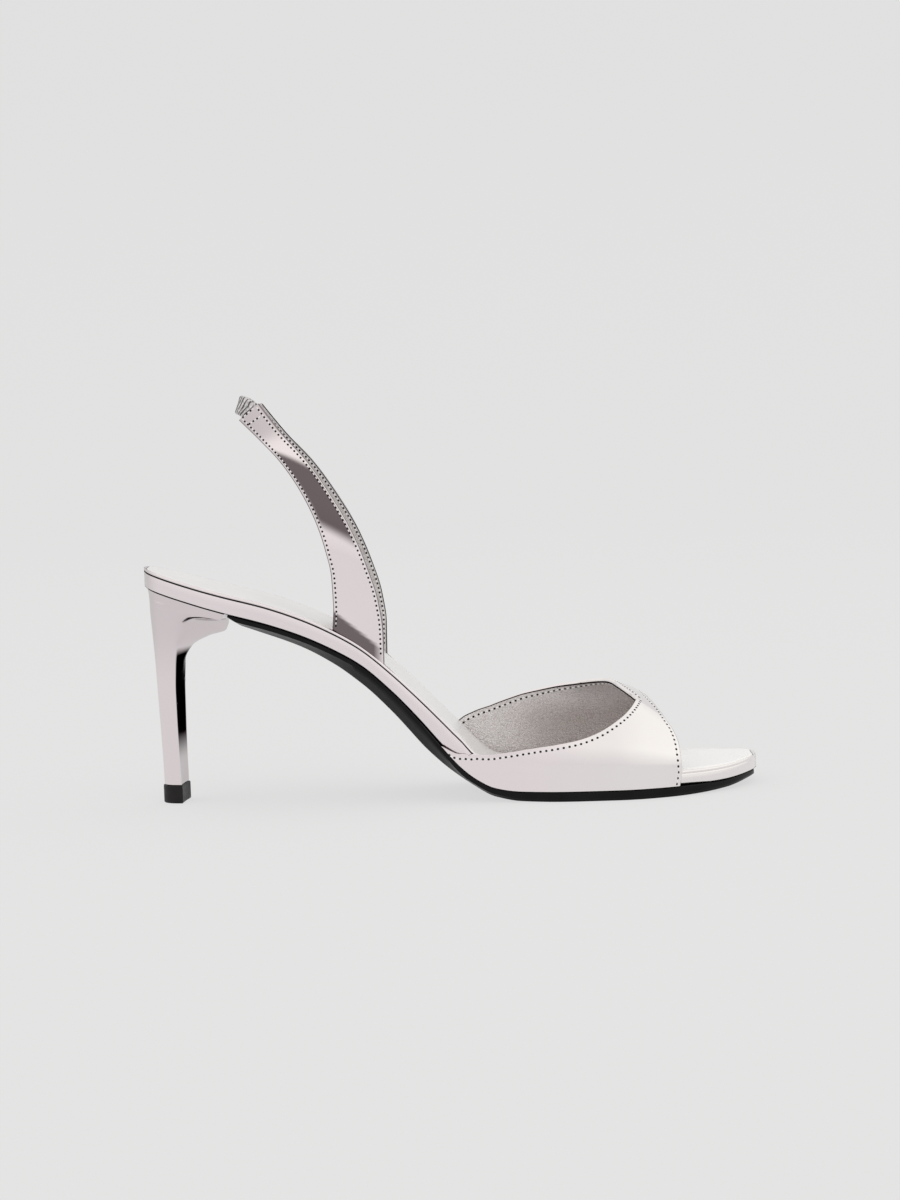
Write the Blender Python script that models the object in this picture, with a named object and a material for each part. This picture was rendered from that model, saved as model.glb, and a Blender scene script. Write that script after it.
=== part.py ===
"""High-heeled slingback sandal with an open toe, right shoe, as separate solids.

Metres. +X runs from the heel to the toe, -Y is the outer side of the foot,
+Z is up and the floor is at zero.
"""
import math

import bpy
import mathutils
import numpy as np

MM = 0.001

# whole shoe
LENGTH = 225.5 * MM
BALL_WIDTH = 76.0 * MM
HEEL_HEIGHT = 75.0 * MM

# walls and layers
GAP = 0.3 * MM
OUTSOLE_THICKNESS = 3.7 * MM
OUTSOLE_INSET = 0.8 * MM
OUTSOLE_EDGE = 1.7 * MM
BOARD_THICKNESS = 6.3 * MM
BOARD_ROUNDING = 0.9 * MM
RIM_WIDTH = 1.7 * MM
RIM_DEPTH = 1.3 * MM
FOOTBED_THICKNESS = 1.1 * MM
FOOTBED_SOFT_EDGE = 0.35 * MM
VAMP_WALL = 1.7 * MM
VAMP_SIDE_RISE = 7.0 * MM
VAMP_RIDGE_OFFSET = 6.0 * MM
STRAP_THICKNESS = 1.8 * MM
STRAP_BOW = 0.25 * MM
STRAP_SOFT_EDGE = 0.45 * MM
ELASTIC_THICKNESS = 1.5 * MM
ELASTIC_HEIGHT = 7.2 * MM
ELASTIC_SOFT_EDGE = 0.4 * MM

# heel
TIP_HEIGHT = 6.6 * MM
TIP_LIP = 0.4 * MM
TIP_SOFT_EDGE = 0.5 * MM
HEEL_INSET = 0.6 * MM
HEEL_TURN = math.radians(6.5)
HEEL_ROUNDNESS = 2.3
HEEL_RINGS_BUILT = 22
HEEL_RING_CROWDING = 1.7

# rear end of the outsole: how far in front of the heel, its share of the thickness there,
# and how soon it is full
OUTSOLE_CLEARANCE = 1.1 * MM
OUTSOLE_REAR_SHARE = 0.30
OUTSOLE_REAR_FADE = 5.0 * MM

# outline seen from above: place along the length, half widths as shares of half the ball width
OUTLINE = {
    "along": (0.001, 0.009, 0.027, 0.062, 0.115, 0.200, 0.310, 0.421, 0.532, 0.621,
              0.701, 0.763, 0.834, 0.896, 0.925, 0.955, 0.976, 0.9875, 0.9935),
    "outer": (0.090, 0.260, 0.410, 0.540, 0.625, 0.645, 0.650, 0.700, 0.815, 0.925,
              0.992, 1.000, 0.920, 0.745, 0.620, 0.445, 0.270, 0.130, 0.010),
    "inner": (0.090, 0.260, 0.410, 0.540, 0.630, 0.645, 0.590, 0.540, 0.630, 0.790,
              0.920, 0.975, 0.960, 0.850, 0.755, 0.615, 0.470, 0.350, 0.230),
}

# line between board and outsole seen from the side, and what lies on each side of it:
# height as a share of heel height, board and outsole as shares of their named thickness
PROFILE = {
    "along": (0.000, 0.067, 0.133, 0.200, 0.257, 0.310, 0.355, 0.399, 0.443, 0.479,
              0.506, 0.532, 0.563, 0.603, 0.665, 0.789, 0.869, 0.936, 1.000),
    "height": (1.075, 1.011, 0.949, 0.891, 0.829, 0.753, 0.671, 0.551, 0.403, 0.272,
               0.179, 0.115, 0.0693, 0.0527, 0.04933, 0.04933, 0.0505, 0.0545, 0.0680),
    "board": (1.14, 1.14, 1.16, 1.17, 1.15, 1.14, 1.13, 1.21, 1.42, 1.64,
              1.74, 1.43, 1.05, 0.85, 0.79, 0.80, 0.83, 0.84, 0.84),
    "outsole": (0.95, 0.95, 0.80, 1.06, 1.19, 1.50, 1.95, 2.15, 2.25, 1.75,
                1.12, 0.84, 0.87, 0.96, 1.00, 1.00, 0.96, 0.80, 0.46),
    "bevel": (1.00, 1.00, 1.00, 1.00, 1.00, 1.00, 1.00, 1.00, 1.00, 0.90,
              0.70, 0.45, 0.25, 0.15, 0.12, 0.12, 0.12, 0.12, 0.12),
}
NOTCH_RAMP = 2.5 * MM
NOTCH_MARGIN = 1.0 * MM
REAR_BLEND = 26.0 * MM
FRONT_BLEND = 15.6 * MM
BEVEL_REACH = 5.5 * MM
WAIST_CROWN = 1.0 * MM

# places where the board, the footbed and the outsole stop short of the full length
HEEL_END = 0.001
TOE_END = 0.9935
FOOTBED_END = 0.0065
OUTSOLE_TOE = 0.9885

# height of the last over the board line above the forefoot, as a share of heel height
LAST_TOP = {
    "along": (0.466, 0.532, 0.621, 0.665, 0.710, 0.736, 0.756, 0.772, 0.794, 0.816, 0.829,
              0.843, 0.865, 0.887),
    "rise": (0.733, 0.668, 0.580, 0.540, 0.500, 0.484, 0.472, 0.455, 0.430, 0.391, 0.365,
             0.336, 0.292, 0.260),
}
LAST_FULLNESS = 2.2
TOP_SHARE = 0.8

# vamp edges: place round the section (-1 outer sole edge, 0 ridge, 1 inner sole edge)
# and where the throat edge and the toe opening lie along the length
THROAT_EDGE = {
    "round": (-1.000, -0.900, -0.800, -0.768, -0.740, -0.713, -0.691, -0.669, -0.641, -0.606,
              -0.558, -0.495, -0.415, -0.322, -0.239, -0.190, -0.165, -0.120, -0.060, 0.000,
              0.060, 0.110, 0.150, 0.193, 0.246, 0.300, 0.355, 0.435, 0.500, 0.569, 0.627,
              0.677, 0.732, 0.777, 0.800, 0.900, 1.000),
    "along": (0.479, 0.503, 0.523, 0.545, 0.570, 0.600, 0.630, 0.660, 0.690, 0.715,
              0.738, 0.758, 0.775, 0.788, 0.7955, 0.7985, 0.7935, 0.7845, 0.775, 0.7675,
              0.760, 0.753, 0.746, 0.7355, 0.720, 0.702, 0.681, 0.645, 0.610, 0.577, 0.552,
              0.534, 0.5165, 0.5045, 0.498, 0.491, 0.483),
}
TOE_OPENING = {
    "round": (-1.00, -0.90, -0.80, -0.65, -0.53, -0.40, -0.31, -0.196, -0.147, -0.05,
              0.05, 0.15, 0.30, 0.45, 0.60, 0.80, 1.00),
    "along": (0.857, 0.860, 0.8615, 0.860, 0.858, 0.852, 0.8435, 0.834, 0.827, 0.8175,
              0.815, 0.822, 0.838, 0.849, 0.856, 0.860, 0.857),
}

# heel from seat to tip: drop below the seat line at the back, how far the section still follows
# the slope of the seat, back edge and breast corner as shares of the length, half width and
# how far the middle of the breast reaches forward as shares of half the ball width
HEEL_SHAPE = {
    "drop": (0.000, 0.032, 0.050, 0.080, 0.125, 0.190, 0.270, 0.390, 0.530, 0.690, 0.850, 1.000),
    "slope": (1.00, 1.00, 1.00, 0.95, 0.85, 0.70, 0.50, 0.25, 0.10, 0.00, 0.00, 0.00),
    "back": (0.0044, 0.0062, 0.0067, 0.0071, 0.0075, 0.0089, 0.0106, 0.0126, 0.0142, 0.0160,
             0.0177, 0.0186),
    "breast": (0.1366, 0.1304, 0.0998, 0.0767, 0.0634, 0.0581, 0.0550, 0.0528, 0.0510, 0.0510,
               0.0514, 0.0523),
    "half": (0.621, 0.603, 0.563, 0.500, 0.432, 0.368, 0.318, 0.274, 0.239, 0.210, 0.190, 0.176),
    "tongue": (-0.010, 0.032, 0.210, 0.342, 0.395, 0.258, 0.110, 0.021, 0.000, -0.005,
               -0.005, -0.005),
}

# sling strap: share of its run, rear and front edge from the side as shares of the length and
# the heel height, then distance from the middle plane and how much nearer the rear edge
# comes to it as shares of half the ball width
STRAP = {
    "run": (0.00, 0.10, 0.22, 0.34, 0.46, 0.60, 0.74, 0.87, 1.00),
    "rear_x": (0.3095, 0.3126, 0.3113, 0.3029, 0.2900, 0.2652, 0.2341, 0.2018, 0.1681),
    "rear_z": (0.843, 0.967, 1.107, 1.240, 1.367, 1.525, 1.665, 1.771, 1.873),
    "front_x": (0.3911, 0.3916, 0.3858, 0.3694, 0.3486, 0.3166, 0.2798, 0.2381, 0.2018),
    "front_z": (0.673, 0.827, 0.980, 1.153, 1.313, 1.491, 1.659, 1.805, 1.952),
    "outer_y": (0.589, 0.608, 0.626, 0.629, 0.603, 0.524, 0.421, 0.300, 0.182),
    "inner_y": (0.492, 0.521, 0.558, 0.576, 0.563, 0.497, 0.408, 0.295, 0.182),
    "pinch": (0.000, 0.000, 0.003, 0.008, 0.016, 0.026, 0.039, 0.053, 0.058),
}
STRAP_FOOT_SHARE = 0.14

# middle of the elastic at the very back as shares of the length and the heel height,
# how far it leans, and how roundly it gets there
ELASTIC_BACK = (0.1685, 1.947)
ELASTIC_LEAN = (0.30, 0.0, 1.0)
ELASTIC_ROUNDING = 3.0 * MM


def smooth(table, place_column, column, place):
    """Monotone cubic through one column of a table."""
    xs = np.array(table[place_column], float)
    ys = np.array(table[column], float)
    steps = np.diff(xs)
    slopes = np.diff(ys) / steps
    tangents = np.zeros(len(xs))
    for i in range(1, len(xs) - 1):
        if slopes[i - 1] * slopes[i] > 0:
            w1 = 2 * steps[i] + steps[i - 1]
            w2 = steps[i] + 2 * steps[i - 1]
            tangents[i] = (w1 + w2) / (w1 / slopes[i - 1] + w2 / slopes[i])
    tangents[0] = slopes[0]
    tangents[-1] = slopes[-1]
    place = np.clip(place, xs[0], xs[-1])
    i = int(np.clip(np.searchsorted(xs, place) - 1, 0, len(xs) - 2))
    t = (place - xs[i]) / steps[i]
    return ((2 * t ** 3 - 3 * t ** 2 + 1) * ys[i] + (t ** 3 - 2 * t ** 2 + t) * steps[i] * tangents[i]
            + (3 * t ** 2 - 2 * t ** 3) * ys[i + 1] + (t ** 3 - t ** 2) * steps[i] * tangents[i + 1])


def outline(x, side):
    """Y of the shoe's edge at x, on the outer or inner side."""
    half = smooth(OUTLINE, "along", side, x / LENGTH) * BALL_WIDTH / 2
    return -half if side == "outer" else half


def board_line(x):
    return smooth(PROFILE, "along", "height", x / LENGTH) * HEEL_HEIGHT


def board_top(x):
    return board_line(x) + smooth(PROFILE, "along", "board", x / LENGTH) * BOARD_THICKNESS


def material(name, colour, metallic, roughness):
    made = bpy.data.materials.new(name)
    made.use_nodes = True
    shader = made.node_tree.nodes["Principled BSDF"]
    shader.inputs["Base Color"].default_value = (*colour, 1.0)
    shader.inputs["Metallic"].default_value = metallic
    shader.inputs["Roughness"].default_value = roughness
    return made


def enclosed_volume(points, faces):
    """Six times the volume inside the faces, negative when they point inwards."""
    total = 0.0
    for face in faces:
        first = np.array(points[face[0]])
        for a, b in zip(face[1:-1], face[2:]):
            total += np.dot(first, np.cross(points[a], points[b]))
    return total


def add_solid(name, points, faces, look):
    if enclosed_volume(points, faces) < 0:
        faces = [tuple(reversed(face)) for face in faces]
    mesh = bpy.data.meshes.new(name)
    mesh.from_pydata([tuple(p) for p in points], [], faces)
    mesh.validate()
    mesh.polygons.foreach_set("use_smooth", [False] * len(mesh.polygons))
    mesh.materials.append(material(name + "_surface", *look))
    solid = bpy.data.objects.new(name, mesh)
    bpy.context.scene.collection.objects.link(solid)
    return solid


def loft(name, rings, look, start_cap=None):
    """Closed solid through rings of equal point count; a start cap may be given as strips."""
    count = len(rings[0])
    points = [p for ring in rings for p in ring]
    faces = []
    for r in range(len(rings) - 1):
        for k in range(count):
            a = r * count + k
            b = r * count + (k + 1) % count
            faces.append((a, b, b + count, a + count))
    faces += [tuple(reversed(face)) for face in start_cap or [tuple(range(count))]]
    last = (len(rings) - 1) * count
    faces.append(tuple(range(last, last + count)))
    return add_solid(name, points, faces, look)


def stations():
    """Places along the length: closer in the heel and toe curves and wherever the outline steps."""
    first = 0.010
    last = 0.984
    places = [HEEL_END, 0.004, first, last, OUTSOLE_TOE, TOE_END]
    steps = 52
    for i in range(1, steps):
        t = i / steps
        places.append(first + (last - first) * (0.3 * (1 - math.cos(math.pi * t)) + 0.4 * t))
    marks = []
    for edge in vamp_ramps() + notch_ramps():
        marks += [place / LENGTH for place in edge]
    places = [p for p in places if min(abs(p - m) for m in marks) > 0.003]
    return [p * LENGTH for p in sorted(places + marks)]


def vamp_ramps():
    """Where the board draws in under the vamp and comes out again."""
    rear = THROAT_EDGE["along"][0] * LENGTH
    front = max(TOE_OPENING["along"]) * LENGTH
    return [(rear - REAR_BLEND, rear), (front, front + FRONT_BLEND)]


def notch_ramps():
    """Where the footbed draws in round a strap's foot and comes out again."""
    rear = STRAP["rear_x"][0] * LENGTH - NOTCH_MARGIN
    front = STRAP["front_x"][1] * LENGTH + NOTCH_MARGIN
    return [(rear - NOTCH_RAMP, rear), (front, front + NOTCH_RAMP)]


def outsole_rear():
    """Where the outsole starts, just in front of the heel."""
    return HEEL_SHAPE["breast"][0] * LENGTH + OUTSOLE_CLEARANCE


def between(x, ramps):
    """1 between two ramps, 0 outside them."""
    (a, b), (c, d) = ramps
    return float(min(np.clip((x - a) / (b - a), 0, 1), np.clip((d - x) / (d - c), 0, 1)))


def board_inset(x):
    share = between(x, vamp_ramps())
    return (3 * share ** 2 - 2 * share ** 3) * (VAMP_WALL + 2 * GAP)


def across(left, right, steps):
    return [left + (right - left) * (i + 1) / (steps + 1) for i in range(steps)]


def outsole_ring(x):
    top = board_line(x) - GAP / 2
    thickness = smooth(PROFILE, "along", "outsole", x / LENGTH) * OUTSOLE_THICKNESS
    bevel = smooth(PROFILE, "along", "bevel", x / LENGTH)
    fade = np.clip((x - outsole_rear()) / OUTSOLE_REAR_FADE, 0, 1)
    thickness *= OUTSOLE_REAR_SHARE + (1 - OUTSOLE_REAR_SHARE) * math.sin(fade * math.pi / 2)
    bottom = top + GAP / 2 - thickness
    crown = WAIST_CROWN * max(0.0, bevel - PROFILE["bevel"][-1])
    left = outline(x, "outer") + OUTSOLE_INSET
    right = outline(x, "inner") - OUTSOLE_INSET
    reach = min(bevel * BEVEL_REACH, (right - left) * 0.22)
    edge = top - min(thickness * 0.62, OUTSOLE_EDGE + (1 - bevel) * OUTSOLE_EDGE)
    ring = [(x, left, edge), (x, left, top)]
    ring += [(x, y, top) for y in across(left, right, 3)]
    ring += [(x, right, top), (x, right, edge)]
    low_right = right - reach
    low_left = left + reach
    ring.append((x, low_right, bottom))
    for i, y in enumerate(across(low_right, low_left, 3)):
        ring.append((x, y, bottom - crown * (1.0, 1.35, 1.0)[i]))
    ring.append((x, low_left, bottom))
    return ring


def board_ring(x):
    low = board_line(x) + GAP / 2
    top = board_top(x)
    inset = board_inset(x)
    left = outline(x, "outer") + inset
    right = outline(x, "inner") - inset
    width = right - left
    rim = min(RIM_WIDTH, width * 0.12)
    soft = min(BOARD_ROUNDING, width * 0.08)
    floor = top - RIM_DEPTH
    side = [(soft, low), (0.0, low + soft), (0.0, top - soft), (soft * 0.55, top - soft * 0.1),
            (rim * 0.85, top - soft * 0.1), (rim, floor)]
    ring = [(x, left + d, z) for d, z in side]
    ring += [(x, y, floor) for y in across(left + rim, right - rim, 5)]
    ring += [(x, right - d, z) for d, z in reversed(side)]
    ring += [(x, y, low) for y in across(right - soft, left + soft, 3)]
    return ring


def footbed_ring(x):
    low = board_top(x) - RIM_DEPTH + GAP
    top = low + FOOTBED_THICKNESS
    notch = between(x, notch_ramps()) * (STRAP_THICKNESS + STRAP_BOW + 2 * GAP)
    inset = board_inset(x) + RIM_WIDTH + GAP + notch
    left = outline(x, "outer") + inset
    right = outline(x, "inner") - inset
    soft = FOOTBED_SOFT_EDGE
    ring = [(x, left, low), (x, left, top - soft), (x, left + soft, top)]
    ring += [(x, y, top) for y in across(left + soft, right - soft, 5)]
    ring += [(x, right - soft, top), (x, right, top - soft), (x, right, low)]
    ring += [(x, y, low) for y in across(right, left, 3)]
    return ring


def heel_ring(back, breast, half, tongue, turn, height):
    """D-shaped ring: round at the back, a tongue or a shallow hollow at the breast."""
    ring = []
    steps = 16
    for i in range(steps + 1):
        angle = -math.pi / 2 + math.pi * i / steps
        bulge = max(math.cos(angle), 0.0) ** (2 / HEEL_ROUNDNESS)
        side = math.copysign(abs(math.sin(angle)) ** (2 / HEEL_ROUNDNESS), angle)
        ring.append([breast - (breast - back) * bulge, half * side])
    for i in range(1, 8):
        t = i / 8
        ring.append([breast + tongue * math.sin(math.pi * t), half * (1 - 2 * t)])
    turned = []
    pivot = (back + breast) / 2
    for x, y in ring:
        dx = x - pivot
        tx = pivot + dx * math.cos(turn) + y * math.sin(turn)
        ty = y * math.cos(turn) - dx * math.sin(turn)
        turned.append((tx, ty, height(tx)))
    return turned


def heel_sizes(drop):
    """Back, breast, half width and tongue of the heel at a share of its height, from the seat."""
    sizes = []
    for column, size in (("back", LENGTH), ("breast", LENGTH), ("half", BALL_WIDTH / 2),
                         ("tongue", BALL_WIDTH / 2)):
        sizes.append(smooth(HEEL_SHAPE, "drop", column, drop) * size)
    return sizes


def build_heel():
    seat = board_line(0.0) - GAP / 2
    foot = TIP_HEIGHT + GAP
    rings = []
    for i in range(HEEL_RINGS_BUILT + 1):
        drop = (i / HEEL_RINGS_BUILT) ** HEEL_RING_CROWDING
        level = seat - (seat - foot) * drop
        slope = smooth(HEEL_SHAPE, "drop", "slope", drop)

        def height(x, level=level, slope=slope):
            return level + slope * (board_line(x) - board_line(0.0))

        ring = []
        for x, y, z in heel_ring(*heel_sizes(drop), HEEL_TURN * (1 - slope), height):
            limit = outline(max(x, HEEL_END * LENGTH), "outer") + HEEL_INSET
            ring.append((x, max(y, limit) if y < 0 else min(y, -limit), z))
        rings.append(ring)
    return loft("heel", rings, ((0.70, 0.65, 0.66), 1.0, 0.18))


def build_heel_tip():
    back, breast, half, tongue = heel_sizes(1.0)
    rings = []
    for level, shrink in ((TIP_HEIGHT, 0.6), (TIP_HEIGHT - TIP_SOFT_EDGE, 0.0), (TIP_SOFT_EDGE, 0.0),
                          (0.0, 0.6)):
        lip = TIP_LIP - shrink * TIP_SOFT_EDGE
        rings.append(heel_ring(back - lip, breast + lip, half + lip, tongue,
                               HEEL_TURN, lambda x, level=level: level))
    return loft("heel_tip", rings, ((0.02, 0.018, 0.018), 0.0, 0.45))


def vamp_point(x, place):
    """Point on the outside of the vamp at a place round the section."""
    base = board_line(x) + GAP / 2
    rise = smooth(LAST_TOP, "along", "rise", x / LENGTH) * HEEL_HEIGHT
    side = "outer" if place < 0 else "inner"
    edge = outline(x, side)
    if abs(place) >= TOP_SHARE:
        lift = (1 - abs(place)) / (1 - TOP_SHARE)
        return np.array((x, edge, base + VAMP_SIDE_RISE * lift))
    angle = math.pi / 2 * place / TOP_SHARE
    reach = abs(math.sin(angle)) ** (2 / LAST_FULLNESS)
    lift = max(math.cos(angle), 1e-9) ** (2 / LAST_FULLNESS)
    y = VAMP_RIDGE_OFFSET + (edge - VAMP_RIDGE_OFFSET) * reach
    return np.array((x, y, base + VAMP_SIDE_RISE + (rise - VAMP_SIDE_RISE) * lift))


def vamp_normal(x, place):
    step = 0.01
    here = 0.5 * MM
    along = vamp_point(x + here, place) - vamp_point(x - here, place)
    near = max(-0.999, place - step)
    far = min(0.999, place + step)
    round_section = vamp_point(x, far) - vamp_point(x, near)
    return unit(np.cross(along, round_section))


def vamp_places(count):
    """Places round the section spread evenly along both edges of the vamp."""
    fine = np.linspace(-1, 1, 401)
    rear = np.array([vamp_point(throat(p), p) for p in fine])
    front = np.array([vamp_point(opening(p), p) for p in fine])
    steps = np.linalg.norm(np.diff(rear, axis=0), axis=1) + np.linalg.norm(np.diff(front, axis=0), axis=1)
    total = np.concatenate(([0.0], np.cumsum(steps)))
    return np.interp(np.linspace(0, total[-1], count + 1), total, fine)


def throat(place):
    return smooth(THROAT_EDGE, "round", "along", place) * LENGTH


def opening(place):
    return smooth(TOE_OPENING, "round", "along", place) * LENGTH


def build_vamp():
    columns = vamp_places(72)
    rows = 12
    outside = []
    inside = []
    for place in columns:
        start = throat(place)
        end = opening(place)
        for r in range(rows + 1):
            x = start + (end - start) * r / rows
            point = vamp_point(x, place)
            normal = vamp_normal(x, place)
            if normal[2] < 0 and abs(place) < TOP_SHARE:
                normal = -normal
            if abs(place) >= TOP_SHARE:
                normal = np.array((0.0, -1.0 if place < 0 else 1.0, 0.0))
            inner = point - normal * VAMP_WALL
            if abs(place) == 1.0:
                inner[2] = point[2]
            outside.append(point)
            inside.append(inner)
    points = outside + inside
    shift = len(outside)
    width = rows + 1
    faces = []
    for c in range(len(columns) - 1):
        for r in range(rows):
            a = c * width + r
            b = a + width
            faces.append((a, a + 1, b + 1, b))
            faces.append((a + shift, b + shift, b + 1 + shift, a + 1 + shift))
        for r, flip in ((0, False), (rows, True)):
            a = c * width + r
            b = a + width
            strip = (a, b, b + shift, a + shift)
            faces.append(tuple(reversed(strip)) if flip else strip)
    for c, flip in ((0, True), (len(columns) - 1, False)):
        for r in range(rows):
            a = c * width + r
            strip = (a, a + 1, a + 1 + shift, a + shift)
            faces.append(tuple(reversed(strip)) if flip else strip)
    return add_solid("vamp", points, faces, ((0.72, 0.67, 0.68), 1.0, 0.16))


def unit(vector):
    return vector / np.linalg.norm(vector)


def strap_edges(run, side):
    """Rear and front edge of a strap at a share of its run."""
    rear_x = smooth(STRAP, "run", "rear_x", run) * LENGTH
    front_x = smooth(STRAP, "run", "front_x", run) * LENGTH
    rear_z = smooth(STRAP, "run", "rear_z", run) * HEEL_HEIGHT
    front_z = smooth(STRAP, "run", "front_z", run) * HEEL_HEIGHT
    reach = smooth(STRAP, "run", side + "_y", run) * BALL_WIDTH / 2
    pinch = smooth(STRAP, "run", "pinch", run) * BALL_WIDTH / 2
    foot = max(0.0, 1.0 - run / STRAP_FOOT_SHARE)
    rear_y = foot * foot_reach(rear_x, side) + (1 - foot) * (reach - pinch)
    front_y = foot * foot_reach(front_x, side) + (1 - foot) * reach
    sign = -1.0 if side == "outer" else 1.0
    return np.array((rear_x, sign * rear_y, rear_z)), np.array((front_x, sign * front_y, front_z))


def foot_reach(x, side):
    """Distance from the middle plane of a strap's foot, just inside the board's rim."""
    return abs(outline(x, side)) - RIM_WIDTH - GAP - STRAP_THICKNESS / 2 - STRAP_BOW


def strap_section(run, side):
    """Rounded rectangle between the two edges of a strap."""
    step = 0.01
    before = strap_edges(max(0.0, run - step), side)
    after = strap_edges(min(1.0, run + step), side)
    rear, front = strap_edges(run, side)
    run_dir = unit((after[0] + after[1]) - (before[0] + before[1]))
    width = np.linalg.norm(front - rear)
    wide = (front - rear) / width
    normal = unit(np.cross(wide, run_dir))
    if normal[1] * (-1.0 if side == "outer" else 1.0) < 0:
        normal = -normal
    half = STRAP_THICKNESS / 2
    soft = STRAP_SOFT_EDGE
    middle = (rear + front) / 2
    shape = [(-width / 2 + soft, half), (-width / 2, half - soft), (-width / 2, -half + soft),
             (-width / 2 + soft, -half)]
    for share in (-0.25, 0.0, 0.25):
        shape.append((width * share, -half + STRAP_BOW * (1 - 2 * abs(share))))
    shape += [(width / 2 - soft, -half), (width / 2, -half + soft), (width / 2, half - soft),
              (width / 2 - soft, half)]
    for share in (0.25, 0.0, -0.25):
        shape.append((width * share, half + STRAP_BOW * (1 - 2 * abs(share))))
    ring = [middle + wide * w + normal * n for w, n in shape]
    if run == 0.0:
        for point in ring:
            point[2] = board_top(point[0]) - RIM_DEPTH + GAP
    return ring


def build_strap(name, side):
    rings = [strap_section(i / 26, side) for i in range(27)]
    foot = [(0, 1, 2, 3), (0, 3, 4, 13), (13, 4, 5, 12), (12, 5, 6, 11), (11, 6, 7, 10), (10, 7, 8, 9)]
    return loft(name, rings, ((0.72, 0.67, 0.69), 1.0, 0.18), foot)


def elastic_section(share):
    """Ring between the outer strap's end (0) and the middle of the back (1)."""
    rear, front = strap_edges(1.0, "outer")
    before = strap_edges(0.97, "outer")
    run_dir = unit((rear + front) / 2 - (before[0] + before[1]) / 2)
    start = (rear + front) / 2 + run_dir * GAP * 1.5
    back = np.array((ELASTIC_BACK[0] * LENGTH, 0.0, ELASTIC_BACK[1] * HEEL_HEIGHT))
    points = (start, start + run_dir * ELASTIC_ROUNDING, back - np.array((0, ELASTIC_ROUNDING, 0)), back)
    t = share
    centre = ((1 - t) ** 3 * points[0] + 3 * t * (1 - t) ** 2 * points[1]
              + 3 * t ** 2 * (1 - t) * points[2] + t ** 3 * points[3])
    heading = unit((1 - t) ** 2 * (points[1] - points[0]) + 2 * t * (1 - t) * (points[2] - points[1])
                   + t ** 2 * (points[3] - points[2]))
    wide = unit(front - rear) * (1 - t) + unit(np.array(ELASTIC_LEAN)) * t
    wide = unit(wide - heading * np.dot(wide, heading))
    normal = np.cross(heading, wide)
    half = ELASTIC_HEIGHT / 2
    thick = ELASTIC_THICKNESS / 2
    soft = ELASTIC_SOFT_EDGE
    shape = [(-half + soft, thick), (-half, thick - soft), (-half, soft - thick), (-half + soft, -thick),
             (half - soft, -thick), (half, soft - thick), (half, thick - soft), (half - soft, thick)]
    return [centre + wide * w + normal * n for w, n in shape]


def build_elastic():
    count = 9
    rings = [elastic_section(i / count) for i in range(count + 1)]
    for ring in list(reversed(rings[:-1])):
        rings.append([p * np.array((1.0, -1.0, 1.0)) for p in ring])
    return loft("elastic", rings, ((0.75, 0.72, 0.73), 0.3, 0.6))


def stand_on_origin():
    """Move every solid so that the origin is under the middle of the shoe, on the floor."""
    solids = [item for item in bpy.data.objects if item.type == "MESH"]
    corners = np.array([vertex.co for item in solids for vertex in item.data.vertices])
    low = corners.min(axis=0)
    high = corners.max(axis=0)
    middle = ((low[0] + high[0]) / 2, (low[1] + high[1]) / 2, low[2])
    for item in solids:
        item.data.transform(mathutils.Matrix.Translation((-middle[0], -middle[1], -middle[2])))


def build():
    for item in list(bpy.data.objects):
        bpy.data.objects.remove(item, do_unlink=True)
    places = stations()
    sole_places = [outsole_rear() + OUTSOLE_REAR_FADE * share for share in (0.0, 0.14, 0.32, 0.6, 1.0)]
    sole_places += [x for x in places if sole_places[-1] + NOTCH_RAMP < x <= OUTSOLE_TOE * LENGTH]
    loft("outsole", [outsole_ring(x) for x in sole_places], ((0.015, 0.014, 0.014), 0.0, 0.4))
    loft("insole_board", [board_ring(x) for x in places], ((0.70, 0.66, 0.67), 1.0, 0.2))
    footbed_places = [x for x in places if FOOTBED_END * LENGTH < x < (TOE_END - FOOTBED_END) * LENGTH]
    loft("footbed", [footbed_ring(x) for x in footbed_places], ((0.80, 0.79, 0.80), 0.6, 0.35))
    build_heel()
    build_heel_tip()
    build_vamp()
    build_strap("strap_outer", "outer")
    build_strap("strap_inner", "inner")
    build_elastic()
    stand_on_origin()


build()
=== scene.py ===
import bpy, math
from mathutils import Vector, Matrix, noise


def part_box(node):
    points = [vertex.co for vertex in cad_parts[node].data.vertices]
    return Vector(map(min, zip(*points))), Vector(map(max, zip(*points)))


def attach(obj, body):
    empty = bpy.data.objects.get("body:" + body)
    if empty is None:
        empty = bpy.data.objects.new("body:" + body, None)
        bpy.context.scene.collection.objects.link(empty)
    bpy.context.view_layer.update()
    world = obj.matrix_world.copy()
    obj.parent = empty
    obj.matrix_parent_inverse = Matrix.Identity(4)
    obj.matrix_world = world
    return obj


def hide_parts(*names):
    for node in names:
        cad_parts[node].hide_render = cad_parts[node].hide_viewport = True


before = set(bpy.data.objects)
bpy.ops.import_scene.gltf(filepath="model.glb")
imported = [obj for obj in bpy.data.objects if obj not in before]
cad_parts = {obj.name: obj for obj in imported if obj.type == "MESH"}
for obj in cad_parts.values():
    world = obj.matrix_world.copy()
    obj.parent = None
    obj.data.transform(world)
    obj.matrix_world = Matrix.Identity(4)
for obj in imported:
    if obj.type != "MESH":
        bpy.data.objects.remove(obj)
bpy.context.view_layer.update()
scene = bpy.context.scene
mm = 0.001

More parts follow.
